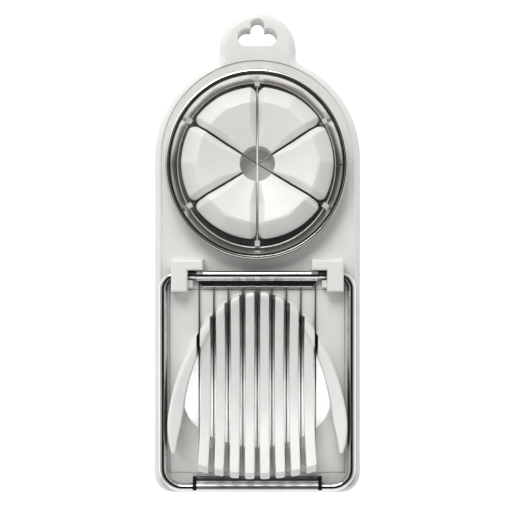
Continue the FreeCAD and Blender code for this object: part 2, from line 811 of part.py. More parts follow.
def carrier(name, side, rod_y, half_wrap, wrap_span, reach):
    """A folded strip: a saddle over the rod and a lip that the wires pass through."""
    outer = "rod_radius + running_gap + carrier_sheet"
    half = f"({half_wrap})"
    tube = bar(name + "_tube", outer, (f"-{half}", half), rod_y, "rod_height")
    quarter = box(name + "_quarter", (f"-{half}", half), wrap_span,
                  ("rod_height + rod_radius / 2", f"rod_height + {outer} + overrun"))
    saddle = common(name + "_saddle", [tube, quarter])
    near = f"{rod_y} {side} ({outer} - carrier_sheet / 2)"
    far = f"{rod_y} {side} ({reach})"
    lip_top = "rod_height + carrier_sheet / 2"
    lip = x_profile(name + "_lip", [
        (near, "carrier_bottom"),
        (far, "carrier_bottom"),
        (far, f"{lip_top} - carrier_sheet"),
        (near, f"{lip_top} + carrier_sheet"),
    ], "carrier_half")
    joined = fuse(name + "_joined", [saddle, lip])
    rod_room = bar(name + "_rod_room", "rod_radius + running_gap",
                   ("-rod_half_width", "rod_half_width"), rod_y, "rod_height")
    holes = [rod_along_y(f"{name}_hole_{n + 1}", "slicer_wire / 2 + wire_hole_gap", wire_x(n),
                         (f"{rod_y} - upper_reach - sheet", f"{rod_y} + upper_reach + sheet"),
                         "wire_height")
             for n in range(WIRES)]
    item = cut(name, joined, [rod_room] + holes)
    item.Label = name
    return item


def make_carriers():
    outer = "rod_radius + running_gap + carrier_sheet"
    upper = carrier("upper_wire_carrier", "-", "hinge_y", "clip_arm_inner - ear_gap",
                    (f"hinge_y - ({outer})", "hinge_y"), "upper_reach")
    lower = carrier("lower_wire_carrier", "+", "rod_foot_y", "carrier_half",
                    ("rod_foot_y - rod_radius / 2", f"rod_foot_y + {outer}"), "lower_reach")
    return [upper, lower]


def make_slicer_wires():
    outer = "rod_radius + running_gap + carrier_sheet / 2"
    pieces = []
    for n in range(WIRES):
        wire = rod_along_y(f"slicer_wire_{n + 1}", "slicer_wire / 2", wire_x(n),
                           (f"rod_foot_y + {outer}", f"hinge_y - ({outer})"), "wire_height")
        wire.Label = f"slicer_wire_{n + 1}"
        pieces.append(wire)
    return pieces


def make_lugs():
    """Hooks at the lower carrier's two ends."""
    outer = "rod_radius + running_gap + carrier_sheet"
    pieces = []
    for word, sign in (("left", "-"), ("right", "+")):
        near, far = f"{sign} carrier_half", f"{sign} (carrier_half + lug_width)"
        span = (far, near) if sign == "-" else (near, far)
        plate = box(f"lug_plate_{word}", span,
                    ("rod_foot_y - rod_radius / 2", "rod_foot_y + lower_reach + lug_overhang"),
                    ("carrier_bottom", f"rod_height + {outer}"))
        room = bar(f"lug_room_{word}", "rod_radius + running_gap",
                   ("-rod_half_width", "rod_half_width"), "rod_foot_y", "rod_height")
        open_foot = box(f"lug_open_{word}", span,
                        ("rod_foot_y - rod_radius", "rod_foot_y + rod_radius + running_gap"),
                        ("carrier_bottom - overrun", "rod_height"))
        lug = cut(f"carrier_lug_{word}", plate, [room, open_foot])
        lug.Label = f"carrier_lug_{word}"
        pieces.append(lug)
    return pieces


# -------------------------------------------------------------- hinge clips

def make_clips():
    """L-shaped caps that hold the rod down; it turns in a bore that is open below."""
    pieces = []
    for word, sign in (("left", "-"), ("right", "")):
        name = f"hinge_clip_{word}"
        body = doc.addObject("PartDesign::Body", name + "_body")
        corners = [
            ("clip_arm_inner", "clip_rear"), ("clip_outer", "clip_rear"),
            ("clip_outer", "clip_front"), ("clip_inner", "clip_front"),
            ("clip_inner", "clip_arm_front"), ("clip_arm_inner", "clip_arm_front"),
        ]
        corners = [(f"{sign}{x}", y) for x, y in corners]
        outline = polygon_sketch(body, name + "_outline", "XY_Plane", corners, "deck_height")
        pad = pad_between(body, name + "_pad", outline, "clip_top - deck_height")
        doc.recompute()
        top = size("clip_top")
        edges = [f"Edge{n}" for n, edge in enumerate(pad.Shape.Edges, 1)
                 if edge.BoundBox.ZMin > top - 0.01]
        soft = body.newObject("PartDesign::Fillet", name + "_soft")
        soft.Base = (pad, edges)
        bind(soft, Radius="clip_round")

        straight = f"{sign} (rod_half_width - bend_top - clip_round / 2)"
        bore_span = (f"{sign}(clip_outer + clip_round)", f"{sign}(clip_inner - clip_round)")
        room_span = (f"{sign}(clip_outer + clip_round)", straight)
        if sign == "":
            bore_span, room_span = bore_span[::-1], room_span[::-1]
        bore = bar(name + "_bore", "rod_radius + running_gap", bore_span, "hinge_y", "rod_height")
        slot = box(name + "_slot", bore_span,
                   ("hinge_y - rod_radius - running_gap", "hinge_y + rod_radius + running_gap"),
                   ("deck_height - clip_round", "rod_height"))
        room = bar(name + "_room", "rod_radius + bend_room", room_span, "hinge_y", "rod_height")
        room_slot = box(name + "_room_slot", room_span,
                        ("hinge_y - rod_radius - bend_room", "hinge_y + rod_radius + bend_room"),
                        ("deck_height - clip_round", "rod_height"))
        peg = post(name + "_peg", "peg_radius - running_gap",
                   f"{sign} (clip_inner + clip_outer) / 2", "(clip_rear + clip_arm_front) / 2",
                   ("deck_height - peg_length", "deck_height + clip_round"))
        joined = fuse(name + "_joined", [body, peg])
        clip = cut(name, joined, [bore, slot, room, room_slot])
        clip.Label = name
        pieces.append(clip)
    return pieces


PIECES = [make_tray(), make_cup(), make_cradle(), make_ring(), make_ring_pin(), make_rod()]
PIECES += make_wedger_wires() + make_carriers() + make_slicer_wires() + make_lugs() + make_clips()


def check_and_write():
    doc.recompute()
    for item in doc.Objects:
        bad = {"Invalid", "Error"} & set(item.State)
        if bad:
            raise RuntimeError(f"{item.Label}: {bad}")
    os.makedirs("parts", exist_ok=True)
    for piece in PIECES:
        shape = piece.Shape
        if shape.isNull() or not shape.isValid():
            raise RuntimeError(f"{piece.Label}: null or invalid shape")
        print(piece.Label, "solids", len(shape.Solids), "volume", round(shape.Volume, 1),
              [round(v, 2) for v in (shape.BoundBox.XMin, shape.BoundBox.XMax,
                                     shape.BoundBox.YMin, shape.BoundBox.YMax,
                                     shape.BoundBox.ZMin, shape.BoundBox.ZMax)])
        shape.exportStep(f"parts/{piece.Label}.step")


check_and_write()
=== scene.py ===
"""Looks for the two-in-one egg slicer and wedger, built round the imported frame."""

import math

import bmesh
import bpy
import mathutils
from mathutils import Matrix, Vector


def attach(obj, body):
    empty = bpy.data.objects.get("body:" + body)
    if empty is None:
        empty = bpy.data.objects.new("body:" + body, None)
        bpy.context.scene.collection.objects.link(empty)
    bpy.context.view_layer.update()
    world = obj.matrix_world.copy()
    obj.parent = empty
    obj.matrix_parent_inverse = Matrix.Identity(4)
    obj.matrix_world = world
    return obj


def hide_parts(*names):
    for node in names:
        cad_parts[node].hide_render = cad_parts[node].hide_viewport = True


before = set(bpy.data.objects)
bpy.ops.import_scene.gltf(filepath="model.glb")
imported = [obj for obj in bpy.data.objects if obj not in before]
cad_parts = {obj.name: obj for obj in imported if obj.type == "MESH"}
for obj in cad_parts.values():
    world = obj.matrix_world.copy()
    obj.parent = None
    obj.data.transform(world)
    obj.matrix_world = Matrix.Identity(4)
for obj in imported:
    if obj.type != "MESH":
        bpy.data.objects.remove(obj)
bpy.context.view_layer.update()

# ---------------------------------------------------------------- camera, metres and pixels

PICTURE = 512
SENSOR = 36.0
FOCAL_PIXELS = 939.0
CAMERA_PLACE = (-0.00054, -0.00167, 0.400)
CAMERA_CLIP = (0.01, 20.0)

# ---------------------------------------------------------------- light and floor, metres

# the studio's bright sides: direction, cosine where it starts, cosine where it is full, strength
STUDIO_LOBES = (
    ((-0.25, 0.78, 0.58), 0.60, 0.86, 0.90),
    ((-0.88, 0.05, 0.47), 0.78, 0.92, 0.52),
    ((0.88, 0.05, 0.47), 0.78, 0.92, 0.66),
    ((0.0, -0.95, 0.30), 0.62, 0.92, 1.30),
)
STUDIO_BASE = 0.30
CEILING = (0.79, 0.88, 1.0, 0.06)  # height where it starts, where it is full, strengths there
HORIZON = (0.03, 0.14, 1.0, 0.0)  # the white wall round the table, as metal mirrors it
KEY = ((-0.26, 0.96, 0.96), (0.8, 0.64), 10.6)  # place, size and power

FLOOR_HALF = 3.0
FLOOR_DROP = 0.00002
FLOOR_GREY = 0.80
FLOOR_OPENNESS = (0.08, 16)  # reach and samples
# painted contact shade on the floor where it is shut in:
# the floor's own white: openness where it starts and where it is full, and the levels there
GLOW = (0.0, 0.015, 0.0, 1.0)
# a painted shadow on the floor below the cradle's arch:
# the floor's own white is off below the cradle's arch, but not below the two windows:
# each is a range along Y or away from the middle, and the levels at its ends
SHADE_FOOT = (-0.0566, -0.0396, 0.0, 1.0)
SHADE_HEAD = (-0.014, -0.008, 1.0, 0.0)
SHADE_SIDE = (0.034, 0.038, 1.0, 0.0)
WINDOW_SIDE = (0.0235, 0.0250, 0.0, 1.0)
WINDOW_TOP = (-0.0456, -0.0430, 1.0, 0.0)

# ---------------------------------------------------------------- painted light and shade, by place, metres

RING_CENTRE = (-0.0003, 0.0358)
# painted reflections and shade: a dark groove, a bright rim, and the head lighter than the foot
# the ring's sheet, from its inner edge out to the rim's outer side, and from its foot to its head
RING_PAINTED_BANDS = (0.0320, 0.0380, (
    (0.0322, 0.5), (0.0326, 0.5), (0.0329, 0.52), (0.0345, 0.72), (0.0356, 0.84),
    (0.0360, 0.02), (0.0366, 0.02), (0.0368, 1.0), (0.0375, 1.0), (0.0377, 0.34)))
RING_PAINTED_ALONG = (-0.039, 0.039, (
    (-0.039, 0.74), (-0.024, 0.92), (0.0, 0.72), (0.022, 1.80), (0.039, 1.28)))
# painted reflections and shade: light and dark bands across the folds
# the lower strip's folds, from its far side towards the cradle
STRIP_PAINTED_BANDS = (-0.0990, -0.0915, (
    (-0.0983, 0.08), (-0.0979, 0.9), (-0.0974, 0.9), (-0.0971, 0.45), (-0.0966, 0.45),
    (-0.0962, 0.08), (-0.0958, 1.0), (-0.0946, 0.9), (-0.0941, 0.16), (-0.0920, 0.16)))
# the slicer's wires, with painted light and shadow: bright over the ribs' feet, dark towards the
# arch, where its shadow falls
WIRE_PAINTED_BANDS = (-0.0950, -0.0110, (
    (-0.0940, 1.0), (-0.0600, 1.0), (-0.0520, 0.12), (-0.0280, 0.12), (-0.0170, 0.30)))

# painted shade in narrow gaps: reach, and the openness where it is darkest and lightest
WIDE_CREVICE = (0.012, 0.05, 0.36)
GAP_CREVICE = (0.010, 0.26, 0.48)
CREVICE_SAMPLES = 8
# how strongly this painted shade darkens, by the distance from the ring's axis: the tray's well
# for the ring, the cradle's rib gaps below the arch, and the cup's hole and outer side are
# painted near black, the gaps at the ribs' feet and the cup's own slots are not
WELL_SHADE = (0.0, 0.150, (
    (0.0, 0.98), (0.0350, 0.98), (0.0370, 0.32), (0.1080, 0.32), (0.1160, 0.0)))
GAP_SHADE = (0.0, 0.150, (
    (0.0, 0.98), (0.0800, 0.98), (0.0915, 0.40), (0.1080, 0.35), (0.1160, 0.0)))
CUP_SHADE = (0.0, 0.150, (
    (0.0, 0.90), (0.0072, 0.90), (0.0078, 0.50), (0.0296, 0.50), (0.0310, 0.97),
    (0.0400, 0.97), (0.0420, 0.50)))
# painted shade on the rod's sides where the tray is close: reach, openness and tone from and to
ROD_SHADE = (0.008, 0.50, 0.74, 0.12, 1.0)
ROD_SAMPLES = 16

NOISE_SPAN = (0.3, 0.7)  # the part of a noise's values that is used
STEEL_BUMP = 0.00002
# how fine steel's grain is along X, Y and Z: it is drawn out where the number is low
ROD_GRAIN = (900.0, 120.0, 900.0)
STRIP_GRAIN = (90.0, 1500.0, 1500.0)
WIRE_GRAIN = (2500.0, 60.0, 2500.0)
EVEN_GRAIN = (900.0, 900.0, 900.0)
# the same round the ring: turn, radius and height
RING_GRAIN = (3.0, 3800.0, 3800.0)
RING_CLOUDS = (1.2, 40.0, 40.0)

# ---------------------------------------------------------------- shapes, millimetres

MM = 0.001
MERGE = 0.000002  # metres
CREASE = math.radians(32.0)

# the petal cup, as in the solids
CUP_Y = 36.5
HOLE_RADIUS = 7.3
CUP_RADIUS = 31.3
RIDGE_RADIUS = 24.4
RIDGE_TOP = 20.0
OUTER_SLOPE = 0.81
DISH_FLOOR = 13.2
DISH_SLOPE = 0.398
SLOT_HALF = 0.44
CORNER = 3.0
BASE_TOP = 8.4
WEDGE_ANGLES = (32.0, 90.0, 148.0, 212.0, 270.0, 328.0)
FACETS = 12
# its softer edges: blends at the ridge and at the bevels, which widen away from the hole
RIDGE_BLEND = 0.7
BEVEL_BLEND = 0.45
BEVEL_WIDTH = (0.5, 1.9)
BEVEL_GROWTH = 9.0
BEVEL_SLOPE = 1.2
UPRIGHT_BEVEL_SLOPE = 1.5  # of the two valleys along Y
UPRIGHT_VALLEY = 5.0
PETAL_EDGE = 0.55
HOLE_EDGE = 0.25
PETAL_SINK = 0.1
PETAL_GRID = (56, 44)
PETAL_ENDS = (0.0005, 0.9995)
HALVINGS = 30
# the disc below the petals: radius and height, over its top and back underneath
CUP_DISC = ((0.0, 5.4), (HOLE_RADIUS - 0.6, 5.4), (HOLE_RADIUS - 0.1, 5.8),
            (HOLE_RADIUS, BASE_TOP), (CUP_RADIUS - 0.5, BASE_TOP),
            (CUP_RADIUS - 0.1, BASE_TOP - 0.3), (CUP_RADIUS, 4.9), (CUP_RADIUS, 4.5), (0.0, 4.5))
DISC_STEPS = 192

# the oval ring: the solid's outer radius, half of the oval each way, the outer radius that the
# painted light and shade across the sheet are counted in, and the hinge's knuckle, which isn't
# stretched
SOLID_RING_OUTER = 38.05
RING_HALF_X = 37.3
RING_HALF_Y = 38.9
TONE_RING_OUTER = 38.0
KNUCKLE_HALF, KNUCKLE_Y, KNUCKLE_TOP = 3.4, 71.0, 15.4
RIM = (37.1, 17.0, 1.02)  # radius, height and half thickness
LIP = (33.25, 12.65, 0.30)
HOOP_GRID = (288, 28)

# the egg cradle's outline, as in the solids
ARCH_HEAD = -16.2
WING_WIDEST = -69.0
WING_HALF = 36.0
WING_TIP = -80.0
WING_FOOT_SPAN = 33.6
ARCH_POWER = 1.6
BOWL_CENTRE = -51.0
BOWL_FLOOR = 12.6
OUTLINE_STEPS = 400
# its opened gaps: the cutters' pitch, heights, and half widths along Y
CUTS = range(-3, 4)
CUT_PITCH = 6.0
CUT_HEIGHTS = (11.3, 45.0)
CUT_HALVES = ((-95.0, 0.97), (-13.0, 1.26))
CUT_FACES = ((2, 3, 1, 0), (5, 7, 6, 4), (1, 5, 4, 0), (6, 7, 3, 2), (4, 6, 2, 0), (3, 7, 5, 1))
# its softened skin
CRADLE_MERGE = 0.000005  # metres
SKIN_SIZE = 0.32
HEAD_LOWERED = 0.20  # share of its height over the bowl that the arch's head loses
ROUND_LEAST, ROUND_GROWTH, ROUND_FROM, ROUND_SPAN = 1.5, 1.7, -60.0, 22.0
SOFT_FROM = 12.5
ROUND_DEPTH = 5.0
END_REACH = 3.0
END_FADE = 2.0
RIB_FOOT = -83.5
SMOOTHING = (("soft_ends", "ends", 24), ("soft_skin", "", 2))
KEPT_FACES = 0.35

# the folded strips round the rod
HINGE_Y = -9.6
ROD_FOOT_Y = -96.8
ROD_Z = 13.3
WRAP = 1.9
WRAP_END = 172.0
WRAP_STEPS = 24
FOLD = 0.45
FOLD_STEPS = 8
PLATE_Z = 12.95
LIP_FOOT = 11.5
STRIP_SHEET = 0.3
STRIP_HALF = 24.9
STRIP_SPANS = 24
TAPER_Y, TAPER_WIDTH, TAPER_SPAN = -11.6, 2.6, 3.0
UPPER_WRAP = (HINGE_Y, 1.0, 25.0, -14.4)  # the rod's Y, side, where the wrap starts, plate's end
LOWER_WRAP = (ROD_FOOT_Y, -1.0, 70.0, -92.85)


# ---------------------------------------------------------------- node helpers

def new_material(name):
    """A material with a Principled shader, and its tree and shader."""
    material = bpy.data.materials.new(name)
    material.use_nodes = True
    tree = material.node_tree
    return material, tree, tree.nodes["Principled BSDF"]


def add(tree, kind, **settings):
    """A node of that kind; settings name its inputs, or its own properties."""
    made = tree.nodes.new(kind)
    for key, value in settings.items():
        if hasattr(made, key):
            setattr(made, key, value)
        else:
            made.inputs[key.replace("_", " ")].default_value = value
    return made


def wire(tree, source, target):
    tree.links.new(source, target)


def feed(tree, made, values):
    """Gives a node's inputs their values in order, each a socket or fixed."""
    for socket, value in zip(made.inputs, values):
        if isinstance(value, bpy.types.NodeSocket):
            wire(tree, value, socket)
        else:
            socket.default_value = value


def maths(tree, operation, *values):
    made = add(tree, "ShaderNodeMath", operation=operation)
    feed(tree, made, values)
    return made.outputs["Value"]


def product(tree, level, *others):
    for other in others:
        level = maths(tree, "MULTIPLY", level, other)
    return level


def rest_of(tree, level):
    """What a share leaves of one."""
    return maths(tree, "SUBTRACT", 1.0, level)


def vectors(tree, operation, *values, result="Vector"):
    made = add(tree, "ShaderNodeVectorMath", operation=operation)
    feed(tree, made, values)
    return made.outputs[result]


def length(tree, vector):
    return vectors(tree, "LENGTH", vector, result="Value")


def scaled(tree, colour, level):
    made = add(tree, "ShaderNodeVectorMath", operation="SCALE")
    wire(tree, colour, made.inputs[0])
    wire(tree, level, made.inputs["Scale"])
    return made.outputs["Vector"]


def parts_of(tree, vector):
    """The outputs X, Y and Z of a vector."""
    made = add(tree, "ShaderNodeSeparateXYZ")
    wire(tree, vector, made.inputs["Vector"])
    return made.outputs


def joined(tree, *parts):
    made = add(tree, "ShaderNodeCombineXYZ")
    feed(tree, made, parts)
    return made.outputs["Vector"]


def object_coordinates(tree):
    return add(tree, "ShaderNodeTexCoord").outputs["Object"]


def from_ring_axis(tree, place):
    return vectors(tree, "SUBTRACT", place, (*RING_CENTRE, 0.0))


def noise(tree, vector, scale, detail, roughness=0.55):
    made = add(tree, "ShaderNodeTexNoise", Scale=scale, Detail=detail, Roughness=roughness)
    wire(tree, vector, made.inputs["Vector"])
    return made.outputs["Fac"]


def grain(tree, vector, stretch, detail):
    """Noise drawn out by a different amount along each axis."""
    return noise(tree, vectors(tree, "MULTIPLY", vector, stretch), 1.0, detail)


def ramp(tree, value, low, high, to_low, to_high):
    made = add(tree, "ShaderNodeMapRange", From_Min=low, From_Max=high, To_Min=to_low,
               To_Max=to_high)
    wire(tree, value, made.inputs["Value"])
    return made.outputs["Result"]


def ranged(tree, field, low, high):
    """A noise as a level from low to high."""
    return ramp(tree, field, *NOISE_SPAN, low, high)


def two_colours(tree, field, first, second):
    """A colour that a noise moves from the first to the second."""
    made = add(tree, "ShaderNodeMix", data_type="RGBA")
    colour_inputs = [s for s in made.inputs if s.type == "RGBA"]
    for socket, colour in zip(colour_inputs, (first, second)):
        socket.default_value = (*colour, 1.0)
    wire(tree, ranged(tree, field, 0.0, 1.0), made.inputs["Factor"])
    return next(s for s in made.outputs if s.type == "RGBA")


def bump(tree, height, strength, distance, normal=None):
    made = add(tree, "ShaderNodeBump", Strength=strength, Distance=distance)
    wire(tree, height, made.inputs["Height"])
    if normal is not None:
        wire(tree, normal, made.inputs["Normal"])
    return made.outputs["Normal"]


def banded(tree, value, low, high, stops):
    """A level that runs through given (place, level) stops as the value goes from low to high."""
    made = add(tree, "ShaderNodeValToRGB")
    while len(made.color_ramp.elements) < len(stops):
        made.color_ramp.elements.new(0.5)
    for element, (place, level) in zip(made.color_ramp.elements, stops):
        element.position = (place - low) / (high - low)
        element.color = (level, level, level, 1.0)
    wire(tree, ramp(tree, value, low, high, 0.0, 1.0), made.inputs["Fac"])
    return made.outputs["Color"]


def openness(tree, reach, samples):
    """1 where nothing is within reach of the surface, and 0 where it is shut in."""
    return add(tree, "ShaderNodeAmbientOcclusion", samples=samples, Distance=reach).outputs["AO"]


def with_painted_shade(tree, place, colour, crevice, shade):
    """The colour with painted shade in narrow gaps, by as much as the distance from the ring's
    axis says.
    """
    reach, darkest, lightest = crevice
    closed = ramp(tree, openness(tree, reach, CREVICE_SAMPLES), darkest, lightest, 1.0, 0.0)
    flat = vectors(tree, "MULTIPLY", place, (1.0, 1.0, 0.0))
    depth = banded(tree, length(tree, from_ring_axis(tree, flat)), *shade)
    return scaled(tree, colour, rest_of(tree, product(tree, closed, depth)))


# ---------------------------------------------------------------- materials

def moulded_plastic(name, crevice, shade):
    """Glossy white moulding: faint mottle, orange peel and a slow waviness of the skin, and
    painted shade in narrow gaps.
    """
    material, tree, shader = new_material(name)
    place = object_coordinates(tree)
    colour = two_colours(tree, noise(tree, place, scale=85.0, detail=4.0),
                         (0.808, 0.800, 0.778), (0.848, 0.840, 0.815))
    wire(tree, with_painted_shade(tree, place, colour, crevice, shade), shader.inputs["Base Color"])
    patchy = noise(tree, place, scale=240.0, detail=5.0)
    wire(tree, ranged(tree, patchy, 0.36, 0.46), shader.inputs["Roughness"])
    peel = bump(tree, noise(tree, place, scale=1900.0, detail=2.0),
                strength=0.10, distance=0.00003)
    wavy = bump(tree, noise(tree, place, scale=110.0, detail=1.0),
                strength=0.12, distance=0.0003, normal=peel)
    wire(tree, wavy, shader.inputs["Normal"])
    shader.inputs["Specular IOR Level"].default_value = 0.45
    return material


def finish_steel(tree, shader, colour, lines, rough, strength, metallic):
    wire(tree, colour, shader.inputs["Base Color"])
    wire(tree, ranged(tree, lines, *rough), shader.inputs["Roughness"])
    wire(tree, bump(tree, lines, strength, STEEL_BUMP), shader.inputs["Normal"])
    shader.inputs["Metallic"].default_value = metallic


def steel(name, dark, light, rough, stretch, strength, painted_bands=None, metallic=1.0, painted_shade_near=None):
    """Steel with a drawn-out grain, with painted light and shade by place along Y, and painted
    shade by openness.
    """
    material, tree, shader = new_material(name)
    place = object_coordinates(tree)
    lines = grain(tree, place, stretch, detail=3.0)
    colour = two_colours(tree, noise(tree, place, scale=130.0, detail=4.0), dark, light)
    if painted_bands is not None:
        tone = banded(tree, parts_of(tree, place)["Y"], *painted_bands)
        colour = vectors(tree, "MULTIPLY", colour, tone)
    if painted_shade_near is not None:
        reach, *tones = painted_shade_near
        colour = scaled(tree, colour, ramp(tree, openness(tree, reach, ROD_SAMPLES), *tones))
    finish_steel(tree, shader, colour, lines, rough, strength, metallic)
    return material


def rolled_steel():
    """The ring's sheet: grain that runs round the ring, and painted reflections and shade across
    and along it.
    """
    material, tree, shader = new_material("rolled_ring_steel")
    parts = parts_of(tree, from_ring_axis(tree, object_coordinates(tree)))
    flat = joined(tree, parts["X"], parts["Y"])
    turn = maths(tree, "ARCTAN2", parts["Y"], parts["X"])
    polar = joined(tree, turn, length(tree, flat), parts["Z"])
    lines = grain(tree, polar, RING_GRAIN, detail=3.0)
    colour = two_colours(tree, grain(tree, polar, RING_CLOUDS, detail=2.0),
                         (0.86, 0.84, 0.80), (0.99, 0.97, 0.94))
    as_round = (TONE_RING_OUTER / RING_HALF_X, TONE_RING_OUTER / RING_HALF_Y, 1.0)
    across = banded(tree, length(tree, vectors(tree, "MULTIPLY", flat, as_round)), *RING_PAINTED_BANDS)
    along = banded(tree, parts["Y"], *RING_PAINTED_ALONG)
    tone = vectors(tree, "MULTIPLY", across, along)
    colour = vectors(tree, "MULTIPLY", colour, tone)
    finish_steel(tree, shader, colour, lines, rough=(0.14, 0.26), strength=0.12, metallic=1.0)
    return material


def dress(material, *nodes):
    for name in nodes:
        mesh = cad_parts[name].data
        mesh.materials.clear()
        mesh.materials.append(material)


def numbered(name, count):
    return ["%s_%d" % (name, n) for n in range(1, count + 1)]


# ---------------------------------------------------------------- meshes

def mesh_from(name, points, faces):
    """A mesh in metres, from points in millimetres."""
    mesh = bpy.data.meshes.new(name)
    mesh.from_pydata([(x * MM, y * MM, z * MM) for x, y, z in points], [], faces)
    return mesh


def placed(name, data):
    """A new object in the scene, with that mesh, lamp or camera."""
    made = bpy.data.objects.new(name, data)
    bpy.context.scene.collection.objects.link(made)
    return made


def tidy_mesh(mesh):
    """Faces point outwards; smooth, apart from edges sharper than the crease angle."""
    shape = bmesh.new()
    shape.from_mesh(mesh)
    bmesh.ops.remove_doubles(shape, verts=shape.verts, dist=MERGE)
    bmesh.ops.recalc_face_normals(shape, faces=shape.faces)
    for face in shape.faces:
        face.smooth = True
    for edge in shape.edges:
        edge.smooth = len(edge.link_faces) == 2 and edge.calc_face_angle(0.0) < CREASE
    shape.to_mesh(mesh)
    shape.free()


def settle(piece, material, body, node=None):
    """Gives a piece its material and its body, and hides the CAD node that it stands for."""
    piece.data.materials.clear()
    piece.data.materials.append(material)
    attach(piece, body)
    if node is not None:
        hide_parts(node)


def new_piece(name, mesh, material, body, node=None):
    piece = placed(name, mesh)
    tidy_mesh(mesh)
    settle(piece, material, body, node)


def apply_modifiers(piece):
    bpy.context.view_layer.update()
    graph = bpy.context.evaluated_depsgraph_get()
    mesh, old = bpy.data.meshes.new_from_object(piece.evaluated_get(graph)), piece.data
    piece.modifiers.clear()
    piece.data = mesh
    bpy.data.meshes.remove(old)


def clamped(value):
    return max(0.0, min(1.0, value))


def rounded_off(radius, inside):
    """How much a rounded edge takes off the top at a place that far inside the edge."""
    return radius - math.sqrt(max(radius ** 2 - (radius - inside) ** 2, 0.0))


# ---------------------------------------------------------------- petal cup

def soft_least(first, second, blend):
    """The lower of two heights, with a rounded change from one to the other."""
    share = clamped(0.5 + 0.5 * (second - first) / blend)
    return second + (first - second) * share - blend * share * (1.0 - share)


def facet_distance(x, y):
    """How far out a point is, measured square to the nearest of the cup's facets."""
    turns = [math.radians(15 + 30 * n) for n in range(FACETS)]
    return max(x * math.cos(turn) + y * math.sin(turn) for turn in turns)


def petal_height(x, y, beside):
    """The petal's top: a dish inside, a facet outside, and a bevel down to the wire's slot."""
    radius = math.hypot(x, y)
    outer = RIDGE_TOP - OUTER_SLOPE * (facet_distance(x, y) - RIDGE_RADIUS)
    dish = DISH_FLOOR + DISH_SLOPE * (radius - HOLE_RADIUS)
    top = soft_least(outer, dish, RIDGE_BLEND)
    narrow, widening = BEVEL_WIDTH
    reach = SLOT_HALF + narrow + widening * clamped((radius - HOLE_RADIUS) / BEVEL_GROWTH)
    slope = UPRIGHT_BEVEL_SLOPE if abs(x) < UPRIGHT_VALLEY else BEVEL_SLOPE
    return soft_least(top, top - slope * (reach - beside), BEVEL_BLEND)


def spread(count):
    """Numbers from 0 to 1, closer together at both ends."""
    return [0.5 - 0.5 * math.cos(math.pi * n / count) for n in range(count + 1)]


def petal(first, last, points, faces):
    """One petal between two wires: a closed block whose sides run along the wires' slots."""
    lead, gap = math.radians(first), math.radians((last - first) % 360.0)
    across, outward = PETAL_GRID

    def turn_at(share, radius):
        inset = math.asin(SLOT_HALF / radius)
        return inset + share * (gap - 2.0 * inset)

    def beside_wire(turn, radius):
        return radius * min(math.sin(min(turn, math.pi / 2)),
                            math.sin(min(gap - turn, math.pi / 2)))

    def outer_radius(share):
        """The rounded outer corners, found as where a rounded outline is crossed."""
        low, high = HOLE_RADIUS + 1.0, CUP_RADIUS
        for _ in range(HALVINGS):
            middle = 0.5 * (low + high)
            out = middle - CUP_RADIUS
            inside = SLOT_HALF - beside_wire(turn_at(share, middle), middle)
            rounded = (min(max(out, inside), -CORNER)
                       + math.hypot(max(out + CORNER, 0.0), max(inside + CORNER, 0.0)))
            if rounded < 0.0:
                low = middle
            else:
                high = middle
        return low

    start = len(points)
    least, most = PETAL_ENDS
    for share in spread(across):
        far = outer_radius(min(max(share, least), most))
        for out in spread(outward):
            radius = HOLE_RADIUS + out * (far - HOLE_RADIUS)
            turn = turn_at(share, radius)
            x, y = radius * math.cos(lead + turn), radius * math.sin(lead + turn)
            inside = min(far - radius, radius - HOLE_RADIUS + HOLE_EDGE, PETAL_EDGE)
            drop = rounded_off(PETAL_EDGE, inside)
            points.append((x, CUP_Y + y, petal_height(x, y, beside_wire(turn, radius)) - drop))
    row = outward + 1
    for i in range(across):
        for j in range(outward):
            a = start + i * row + j
            faces.append((a, a + row, a + row + 1, a + 1))
    rim = ([start + j for j in range(row)]
           + [start + i * row + outward for i in range(1, across + 1)]
           + [start + across * row + j for j in range(outward - 1, -1, -1)]
           + [start + i * row for i in range(across - 1, 0, -1)])
    foot, count = len(points), len(rim)
    points += [(*points[n][:2], BASE_TOP - PETAL_SINK) for n in rim]
    for n in range(count):
        m = (n + 1) % count
        faces.append((rim[n], rim[m], foot + m, foot + n))
    faces.append(tuple(range(foot, foot + count)))


def disc(profile, points, faces, centre_y):
    """A profile of (radius, height) turned about an upright axis."""
    start, row = len(points), len(profile)
    for n in range(DISC_STEPS):
        angle = 2.0 * math.pi * n / DISC_STEPS
        for radius, height in profile:
            points.append((radius * math.cos(angle), centre_y + radius * math.sin(angle), height))
    for n in range(DISC_STEPS):
        here, there = start + n * row, start + (n + 1) % DISC_STEPS * row
        for j in range(row - 1):
            faces.append((here + j, there + j, there + j + 1, here + j + 1))


def make_cup(material):
    points, faces = [], []
    for first, last in zip(WEDGE_ANGLES, WEDGE_ANGLES[1:] + WEDGE_ANGLES[:1]):
        petal(first, last, points, faces)
    disc(CUP_DISC, points, faces, CUP_Y)
    new_piece("petal_cup", mesh_from("petal_cup", points, faces), material,
              "base", "wedge_cup")


# ---------------------------------------------------------------- wedger ring

def oval_hoop(name, radius, height, thick, material):
    """A smooth round bar that runs round the ring, on the same oval."""
    points, faces = [], []
    steps, sides = HOOP_GRID
    for n in range(steps):
        angle = 2.0 * math.pi * n / steps
        for m in range(sides):
            turn = 2.0 * math.pi * m / sides
            out = (radius + thick * math.cos(turn)) / SOLID_RING_OUTER
            points.append((RING_CENTRE[0] / MM + RING_HALF_X * out * math.cos(angle),
                           RING_CENTRE[1] / MM + RING_HALF_Y * out * math.sin(angle),
                           height + thick * math.sin(turn)))
            following = ((n + 1) % steps) * sides
            after = (m + 1) % sides
            faces.append((n * sides + m, following + m, following + after, n * sides + after))
    new_piece(name, mesh_from(name, points, faces), material, "wedger")


